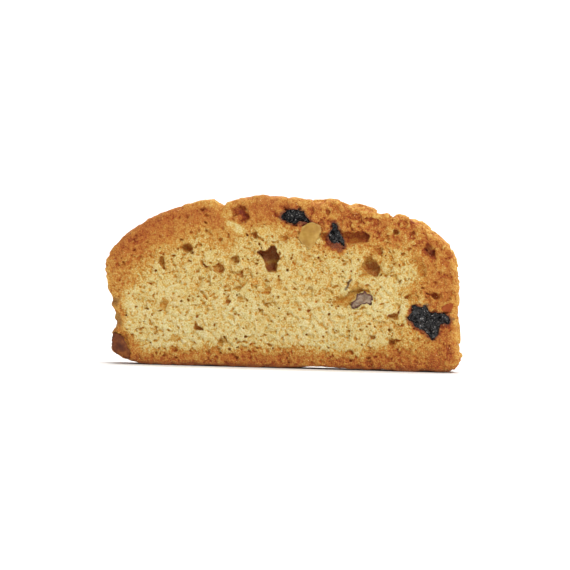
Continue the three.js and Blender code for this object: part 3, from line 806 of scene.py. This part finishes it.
def brown_tone(dough, juice):
    """How pale each place is, from burnt at 0 to crumb at about 0.66."""
    x, z, depth, front = dough.x, dough.z, dough.depth, dough.front
    tone = np.interp(dough.baked, TONE_DEPTHS, TONES).astype(np.float32)
    edge = dough.paler * fade(depth, 0.8, 3.2)
    tone = smooth_max(tone, dough.darkest, 0.1) + edge
    tone += 0.02 * dough.swell + 0.02 * dough.knob * smooth_step(tone, 0.2, 0.4)
    # Painted light: the crumb is painted paler towards the bottom and darker towards the top, to
    # even out how it is lit.
    tone += (0.05 - 0.075 * smooth_step(z, 12, 28)) * smooth_step(dough.baked, 0.9, 1.3)
    for line in TOASTED:
        tone -= 0.12 * fade(from_line(x, z, line), 0.2, 2.2) * front
    for inside, (_, shade) in zip(dough.breaks, BREAKS):
        tone += (shade - tone) * 0.85 * inside * front
    torn = within(x, z, TORN, -0.5, 0.5) * front
    tone += (0.74 - tone) * 0.85 * torn
    tone += (0.16 - tone) * 0.85 * dough.crater * (1 - torn)
    stain = distance_to(dough.solid, DARK_FRUIT)
    stain = np.minimum(stain, np.where(front, juice - 0.35, 2))
    return tone - 0.95 * tone * fade(stain, 0.15, 1.05)


def dark_marks(dough, juice):
    """The walnut's skin, the burnt speck, juice, and a smudge round each front raisin."""
    x, z = dough.x, dough.z
    line = np.minimum(*(from_line(x, z, points) for points in DARK_LINES))
    dark = np.maximum(fade(line, 0.1, 0.45), 0.5 * fade(juice, 0.1, 0.8))
    for node in FRONT_RAISINS:
        smudge = from_outline(x, z, OUTLINES[node]) + 0.15 * dough.grain
        dark = np.maximum(dark, 0.65 * fade(smudge, 0.1, 0.75))
    return dark * dough.front


def slice_fields(fruit):
    """The slice's final field, and the fields that its material reads."""
    dough = Dough()
    solid, x, z, front = dough.solid, dough.x, dough.z, dough.front
    fine, grain, crumb, lump = dough.fine, dough.grain, dough.crumb, dough.lump
    body, sheltered = trimmed_body(dough, distance_to(solid, fruit))
    final = smooth_max(body + surface_relief(dough, sheltered), -notch(dough), 0.25)
    final = smooth_max(final, pores(dough, body, sheltered), 0.1)
    cave = np.zeros_like(final)
    open_hollows(solid, final, cave, 0.12 * fine + 0.18 * grain + 0.16 * crumb)
    # The streak takes painted shade out of the deep hole: painted light on its floor.
    cave -= 0.48 * fade(from_line(x, z, STREAK), 0.1, 0.9) * front
    final = np.maximum(final, base_height(dough) - z)
    make_room(dough, final, fruit)

    juice = np.minimum(*(from_line(x, z, stain) for stain in STAINS)) + 0.2 * grain + 0.2 * lump
    rough = np.maximum(dough.broken_crust, np.maximum(dough.crater, 0.6 * dough.band))
    patch = np.minimum(*(from_outline(x, z, corners) for corners in PATCHES))
    reads = {
        "tone": brown_tone(dough, juice),
        # Where the crust's paler skin goes: its own golden colour, and also a painted highlight on
        # the crust's edge, so none on the base.
        "rim": dough.rim * smooth_step(z, 1.0, 5.0) * (1 - 0.8 * dough.crater),
        # The dark line along the base: the browner baked bottom, and painted shade where it meets
        # the floor.
        "base": fade(z, 0.2, 1.3),
        # How shut in each place is: the material paints shade by it.
        "nook": smeared((final < 0).astype(np.float32), 1.3),
        # Painted shade in the hollows.
        "cave": cave,
        # How high each grain stands: the material paints high grains paler, a painted highlight.
        "raised": -(0.5 * fine + 0.6 * grain + 0.4 * crumb),
        # The same for the broken crust, crater and band: a painted highlight on their high grains.
        "crags": np.maximum(-0.6 * fine - 0.8 * grain - 0.5 * crumb, -0.8) * rough,
        "calm": dough.calm,
        "lump": 0.6 * lump + 0.4 * dough.swell,
        "dark": dark_marks(dough, juice),
        "patch": fade(patch, -0.4, 0.3) * front,
    }
    reads = {name: np.broadcast_to(values, final.shape) for name, values in reads.items()}
    return solid.like(final.astype(np.float32)), {k: solid.like(v) for k, v in reads.items()}


def zest_places():
    """The flecks of zest as points in mm, on the front and at random on the back."""
    rng = np.random.default_rng(5)
    for x, z in ZEST:
        yield x, -FACE_Y, z
    for _ in ZEST:
        yield rng.uniform(-40, 40), FACE_Y, rng.uniform(5, 36)


def slice_piece(fruit):
    final, reads = slice_fields(fruit)
    obj, points = mesh_object("slice_crumb", final)
    for name, field in reads.items():
        paint(obj, name, field.sample(points))
    zest = np.zeros(len(points))
    for place in zest_places():
        away = (points - place) / ZEST_REACH
        zest = np.maximum(zest, np.exp(-(away**2).sum(1)))
    paint(obj, "zest", zest)
    obj.data.materials.append(crumb_material())
    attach(obj, "root")
    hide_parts("biscotti_slice")


# ---- Materials ---------------------------------------------------------------


def srgb(red, green, blue):
    """A colour of 0 to 255 screen values, as shaders take it."""
    def linear(v):
        v /= 255
        return v / 12.92 if v <= 0.04045 else ((v + 0.055) / 1.055) ** 2.4
    return (linear(red), linear(green), linear(blue), 1.0)


class Nodes:
    """Short ways to build one material's node tree."""

    def __init__(self, name):
        self.material = bpy.data.materials.new(name)
        self.material.use_nodes = True
        self.tree = self.material.node_tree
        self.shader = self.tree.nodes["Principled BSDF"]
        self.place = self.add("ShaderNodeNewGeometry").outputs["Position"]

    def add(self, kind, **settings):
        node = self.tree.nodes.new(kind)
        for key, value in settings.items():
            setattr(node, key, value)
        return node

    def join(self, source, target):
        self.tree.links.new(source, target)

    def read(self, name):
        return self.add("ShaderNodeAttribute", attribute_name=name).outputs["Fac"]

    def math(self, operation, *values, clamp=False):
        node = self.add("ShaderNodeMath", operation=operation, use_clamp=clamp)
        for socket, value in zip(node.inputs, values):
            if isinstance(value, (int, float)):
                socket.default_value = value
            else:
                self.join(value, socket)
        return node.outputs[0]

    def ramp(self, factor, stops):
        """A value that follows a factor, by stops of a factor and a number or colour."""
        node = self.add("ShaderNodeValToRGB")
        elements = node.color_ramp.elements
        while len(elements) < len(stops):
            elements.new(0.5)
        for element, (position, value) in zip(elements, stops):
            element.position = position
            element.color = srgb(*value) if isinstance(value, tuple) else (value,) * 3 + (1,)
        self.join(factor, node.inputs["Fac"])
        return node.outputs["Color"]

    def mix(self, factor, a, b, blend="MIX"):
        """A mix of two colours. Sockets 0, 6 and 7 of the node are the colour ones."""
        node = self.add("ShaderNodeMix", data_type="RGBA", blend_type=blend)
        for index, value in ((0, factor), (6, a), (7, b)):
            if isinstance(value, tuple):
                node.inputs[index].default_value = srgb(*value)
            elif isinstance(value, float):
                node.inputs[index].default_value = value
            else:
                self.join(value, node.inputs[index])
        return node.outputs[2]

    def texture(self, kind, size_mm, **values):
        node = self.add(kind)
        for name, value in dict(values, Scale=1 / (size_mm * MM)).items():
            node.inputs[name].default_value = value
        self.join(self.place, node.inputs["Vector"])
        return node.outputs

    def noise(self, size_mm, detail=2.0, rough=0.5, warp=0.0):
        return self.texture("ShaderNodeTexNoise", size_mm,
                            Detail=detail, Roughness=rough, Distortion=warp)["Fac"]

    def cells(self, size_mm):
        """Distance from the middles of scattered cells: 0 there, about 0.6 between them."""
        return self.texture("ShaderNodeTexVoronoi", size_mm)["Distance"]

    def bump(self, height, distance_mm, strength=1.0):
        node = self.add("ShaderNodeBump")
        node.inputs["Distance"].default_value = distance_mm * MM
        node.inputs["Strength"].default_value = strength
        self.join(height, node.inputs["Height"])
        self.join(node.outputs["Normal"], self.shader.inputs["Normal"])

    def colour(self, source):
        self.join(source, self.shader.inputs["Base Color"])

    def rough(self, size_mm, low, high):
        """Roughness that varies with noise: two pairs of noise and roughness."""
        self.join(self.ramp(self.noise(size_mm), (low, high)), self.shader.inputs["Roughness"])

    def gloss(self, ior, scatter=0.0, radius_mm=(1.0, 0.5, 0.25)):
        """Shader values that are the same all over the piece."""
        self.shader.inputs["IOR"].default_value = ior
        self.shader.inputs["Subsurface Weight"].default_value = scatter
        self.shader.inputs["Subsurface Radius"].default_value = [r * MM for r in radius_mm]
        self.shader.inputs["Subsurface Scale"].default_value = 1.0


def crumb_material():
    n = Nodes("baked crumb")
    tone, rim, nook, cave = n.read("tone"), n.read("rim"), n.read("nook"), n.read("cave")
    raised, crags, lump, calm = (n.read(k) for k in ("raised", "crags", "lump", "calm"))
    fine = n.noise(0.4, 2.0, 0.7)
    grains = n.cells(0.45)

    # The baked brown, from the base's dark line through the crust to the crumb.
    speckle = n.math("MULTIPLY_ADD", grains, -0.5, fine)
    speckle = n.math("SUBTRACT", speckle, 0.235)
    amount = n.math("MULTIPLY_ADD", calm, -0.15, n.math("MULTIPLY_ADD", tone, 0.36, 0.68))
    # Painted highlight: raised grains and crags are painted paler.
    shift = n.math("MULTIPLY_ADD", speckle, amount, n.math("MULTIPLY", raised, 0.045))
    varied = n.math("MULTIPLY_ADD", crags, 0.07, n.math("ADD", tone, shift), clamp=True)
    baked = n.ramp(varied, (
        (0.0, (135, 60, 24)), (0.12, (165, 88, 35)), (0.22, (174, 107, 43)),
        (0.35, (186, 129, 56)), (0.46, (192, 148, 71)), (0.57, (199, 168, 97)),
        (0.66, (206, 185, 122)), (0.82, (211, 196, 141)), (1.0, (220, 210, 168)),
    ))
    # The crust's skin: its own golden colour, and a painted highlight on the crust's edge, paler on
    # high crags.
    skin_tone = n.math("MULTIPLY_ADD", lump, 0.12, n.math("MULTIPLY", shift, -2.0))
    skin_tone = n.math("MULTIPLY_ADD", crags, -0.15, skin_tone)
    skin = n.ramp(n.math("ADD", skin_tone, n.math("MULTIPLY_ADD", tone, -0.9, 0.635)), (
        (0.0, (220, 180, 98)), (0.3, (206, 154, 70)), (0.5, (196, 134, 56)),
        (0.75, (180, 110, 44)), (1.0, (150, 82, 32)),
    ))
    surface = n.mix(n.math("MULTIPLY", rim, n.math("MULTIPLY_ADD", calm, -0.3, 0.62)), baked, skin)
    # The dark line along the base: the browner baked bottom, and painted shade where it meets the
    # floor.
    uneven = n.math("MULTIPLY_ADD", lump, 0.2, 0.5, clamp=True)
    surface = n.mix(n.read("base"), surface, n.mix(uneven, (150, 88, 46), (122, 66, 36)))

    # Light reaches less far into the pores and hollows, and comes back more golden.
    recess = n.ramp(nook, (
        (0.50, (255, 255, 255)), (0.59, (254, 238, 206)), (0.68, (242, 204, 140)),
        (0.78, (216, 151, 84)), (0.90, (186, 113, 58)),
    ))
    surface = n.mix(n.ramp(tone, ((0.25, 0.6), (0.5, 1.0))), surface, recess, "MULTIPLY")
    # Painted shade in the hollows, darker the deeper they go.
    inside = n.ramp(cave, (
        (0.0, (255, 255, 255)), (0.35, (236, 210, 162)), (0.7, (206, 158, 114)),
        (1.0, (180, 124, 96)),
    ))
    surface = n.mix(1.0, surface, inside, "MULTIPLY")
    patchy = n.ramp(n.noise(0.7), ((0.35, 0.05), (0.6, 0.5)))
    zest = n.math("MULTIPLY", n.read("zest"), patchy)
    surface = n.mix(zest, surface, (206, 134, 48))
    surface = n.mix(n.math("MULTIPLY", n.read("patch"), 0.65), surface, (130, 88, 42))
    surface = n.mix(n.read("dark"), surface, (84, 54, 46))

    # Tiny sugar grains on the crust, pale in their own colour and painted bright as glints.
    sugar_and_glints = n.ramp(n.cells(1.5), ((0.05, 1.0), (0.08, 0.0)))
    crust = n.ramp(tone, ((0.3, 1.0), (0.5, 0.0)))
    surface = n.mix(n.math("MULTIPLY", sugar_and_glints, crust), surface, (240, 210, 150))
    n.colour(surface)

    n.join(n.ramp(cave, ((0.0, 0.9), (1.0, 0.6))), n.shader.inputs["Roughness"])
    n.bump(speckle, 0.2)
    n.gloss(ior=1.4, scatter=0.3, radius_mm=(0.7, 0.4, 0.18))
    return n.material


def raisin_material(name="raisin", ior=1.46):
    """Nearly black skin with pale specks: sugar, and painted glints of the wet skin. It is duller
    with a lower ior.
    """
    n = Nodes(name)
    fine = n.noise(0.6, 4.0, 0.65)
    skin = n.ramp(fine, ((0.35, (3, 2, 4)), (0.6, (8, 6, 8)), (0.8, (30, 20, 20))))
    # Pale specks: sugar, and painted glints.
    sugar_and_glints = n.ramp(n.noise(0.45, 2.0, 0.6, 0.6), ((0.64, 0.0), (0.70, 1.0)))
    n.colour(n.mix(sugar_and_glints, skin, (170, 164, 160)))
    n.rough(0.8, (0.35, 0.1), (0.7, 0.32))
    n.bump(n.noise(0.5, 2.0, 0.6), 0.3)
    n.gloss(ior=ior)
    return n.material


def sultana_material():
    n = Nodes("sultana")
    flesh = n.ramp(n.noise(2.2, 3.0, 0.6), (
        (0.3, (66, 26, 8)), (0.5, (104, 50, 16)), (0.75, (150, 88, 38))))
    core = n.ramp(n.math("MULTIPLY", n.read("skin"), 0.4), ((0.4, 0.0), (0.85, 0.6)))
    n.colour(n.mix(core, flesh, (56, 20, 12)))
    n.rough(0.8, (0.3, 0.45), (0.7, 0.65))
    n.bump(n.noise(0.4), 0.08, 0.6)
    n.gloss(ior=1.36)
    return n.material


def pale_nut_material():
    n = Nodes("pale nut")
    flesh = n.ramp(n.noise(1.8, 3.0, 0.5), (
        (0.3, (156, 112, 38)), (0.5, (168, 127, 48)), (0.7, (184, 147, 68))))
    # A paler gold near the outline, where the nut blends into the crumb: also painted light over
    # the shade in the gap around it.
    edge = n.math("MULTIPLY_ADD", n.noise(0.7), 0.8, n.read("skin"))
    n.colour(n.mix(n.ramp(edge, ((0.3, 0.8), (0.9, 0.0))), flesh, (190, 154, 82)))
    n.rough(0.9, (0.3, 0.38), (0.7, 0.55))
    n.bump(n.noise(0.35), 0.05, 0.5)
    n.gloss(ior=1.46, scatter=0.2, radius_mm=(1.5, 0.9, 0.4))
    return n.material


def walnut_material():
    n = Nodes("walnut")
    flesh = n.ramp(n.noise(1.1, 3.0, 0.6), (
        (0.3, (142, 100, 66)), (0.45, (126, 104, 84)), (0.75, (176, 154, 130))))
    skin = n.ramp(n.noise(0.5, 3.0), ((0.35, (70, 38, 34)), (0.7, (116, 76, 60))))
    edge = n.math("MULTIPLY_ADD", n.noise(0.8), 0.5, n.read("skin"))
    n.colour(n.mix(n.ramp(edge, ((0.4, 1.0), (0.7, 0.0))), flesh, skin))
    n.rough(0.6, (0.3, 0.45), (0.7, 0.65))
    n.bump(n.noise(0.3, 3.0), 0.08, 0.8)
    n.gloss(ior=1.46, scatter=0.08)
    return n.material


def peel_material():
    n = Nodes("candied peel")
    n.colour(n.ramp(n.noise(1.0, 3.0, 0.6), (
        (0.3, (130, 52, 8)), (0.55, (152, 70, 14)), (0.8, (184, 102, 28)))))
    n.rough(0.7, (0.3, 0.4), (0.7, 0.6))
    n.bump(n.noise(0.5), 0.1, 0.7)
    n.gloss(ior=1.36, scatter=0.15, radius_mm=(1.0, 0.3, 0.1))
    return n.material


# ---- Floor, light and camera -------------------------------------------------

# The photograph's frame, in its pixels, and what it says of the slice's place.
PHOTO_WIDTH = 570
MM_PER_PIXEL = 0.279         # at the cut face
VIEW_CENTRE = (0.3, 23.3)    # x and z, in mm, at the middle of the frame
CAMERA_AZIMUTH = 0.6         # degrees round to the right of the cut face
CAMERA_HEIGHT = 1.0          # degrees above the cut face
CAMERA_ROLL = 1.59           # the base falls this much to the right in the frame
CAMERA_AWAY = 1.4            # metres


def camera():
    data = bpy.data.cameras.new("camera")
    data.sensor_width = 36
    data.lens = data.sensor_width * CAMERA_AWAY / (PHOTO_WIDTH * MM_PER_PIXEL * MM)
    data.clip_start = 0.01
    obj = put("camera", data)
    azimuth, height = math.radians(CAMERA_AZIMUTH), math.radians(CAMERA_HEIGHT)
    away = Vector((
        math.sin(azimuth) * math.cos(height),
        -math.cos(azimuth) * math.cos(height),
        math.sin(height),
    ))
    target = Vector((VIEW_CENTRE[0] * MM, -FACE_Y * MM, VIEW_CENTRE[1] * MM))
    turn = (-away).to_track_quat("-Z", "Y").to_matrix().to_4x4()
    roll = Matrix.Rotation(math.radians(CAMERA_ROLL), 4, "Z")
    obj.matrix_world = Matrix.Translation(target + CAMERA_AWAY * away) @ turn @ roll
    bpy.context.scene.camera = obj


def area_light(name, place, aim, size, power, colour=(1, 1, 1)):
    data = bpy.data.lights.new(name, "AREA")
    data.size = size
    data.energy = power
    data.color = colour
    obj = put(name, data)
    obj.location = place
    way = Vector(aim) - obj.location
    obj.rotation_euler = way.to_track_quat("-Z", "Y").to_euler()


def floor():
    """A pale floor that curves up into a backdrop behind the slice."""
    wide, near, far, high, bend = 3.0, -2.5, 1.6, 2.4, 0.8
    steps = 16
    profile = [(near, 0.0), (far - bend, 0.0)]
    for i in range(1, steps + 1):
        angle = math.pi / 2 * i / steps
        profile.append((far - bend + bend * math.sin(angle), bend - bend * math.cos(angle)))
    profile.append((far, high))
    verts = [(x, y, z) for y, z in profile for x in (-wide, wide)]
    faces = [(2 * i, 2 * i + 1, 2 * i + 3, 2 * i + 2) for i in range(len(profile) - 1)]
    mesh = bpy.data.meshes.new("floor")
    mesh.from_pydata(verts, [], faces)
    mesh.shade_smooth()
    material = bpy.data.materials.new("pale floor")
    material.use_nodes = True
    shader = material.node_tree.nodes["Principled BSDF"]
    shader.inputs["Base Color"].default_value = (0.9, 0.9, 0.9, 1)
    shader.inputs["Roughness"].default_value = 0.9
    mesh.materials.append(material)
    obj = put("floor", mesh)
    obj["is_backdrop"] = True


def studio():
    world = bpy.data.worlds.new("studio")
    bpy.context.scene.world = world
    world.use_nodes = True
    background = world.node_tree.nodes["Background"]
    background.inputs["Color"].default_value = (1, 1, 1, 1)
    background.inputs["Strength"].default_value = 0.32
    subject = (0, 0, 0.02)
    area_light("key", (0.45, -0.9, 0.9), subject, 0.4, 12.3, (1.0, 0.99, 0.96))
    area_light("top", (0.1, 0.45, 1.1), subject, 0.8, 10)
    area_light("backdrop", (0, 0.7, 1.5), (0, 1.6, 0.3), 1.0, 14)
    bpy.context.scene.view_settings.view_transform = "Standard"
    floor()
    camera()


# ---- Everything --------------------------------------------------------------

RAISIN, NUT, WALNUT = raisin_material(), pale_nut_material(), walnut_material()
# Node, relief, how far below the cut face, material, slot.
PIECES = (
    ("raisin_top", wrinkled, 0.25, raisin_material("dull raisin", 1.36), "raisin"),
    ("raisin_spire", wrinkled, 0.15, RAISIN, "raisin"),
    ("raisin_large", wrinkled, 0.15, RAISIN, "raisin"),
    ("raisin_back_left", wrinkled, 0.15, RAISIN, "raisin"),
    ("raisin_back_right", wrinkled, 0.15, RAISIN, "raisin"),
    ("sultana_corner", waxy, 0.1, sultana_material(), "sultana"),
    ("nut_pale", faceted, 0.04, NUT, "pale_nut"),
    ("nut_back", waxy, 0.12, NUT, "pale_nut"),
    ("walnut_chip", broken, 0.15, WALNUT, "walnut"),
    ("walnut_back", broken, 0.15, WALNUT, "walnut"),
    ("orange_peel", waxy, 0.12, peel_material(), "peel"),
)
fruit_fields = {
    node: fruit_field(node, relief, sunk, 101 + 10 * i)
    for i, (node, relief, sunk, _, _) in enumerate(PIECES)
}
slice_piece(fruit_fields)
for node, _, _, material, slot in PIECES:
    fruit_piece(node, fruit_fields[node], material, slot)
studio()

boxes = {"cad": cad_box, "visual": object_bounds()}
{k: [[float(v) for v in corner] for corner in box] for k, box in boxes.items()}
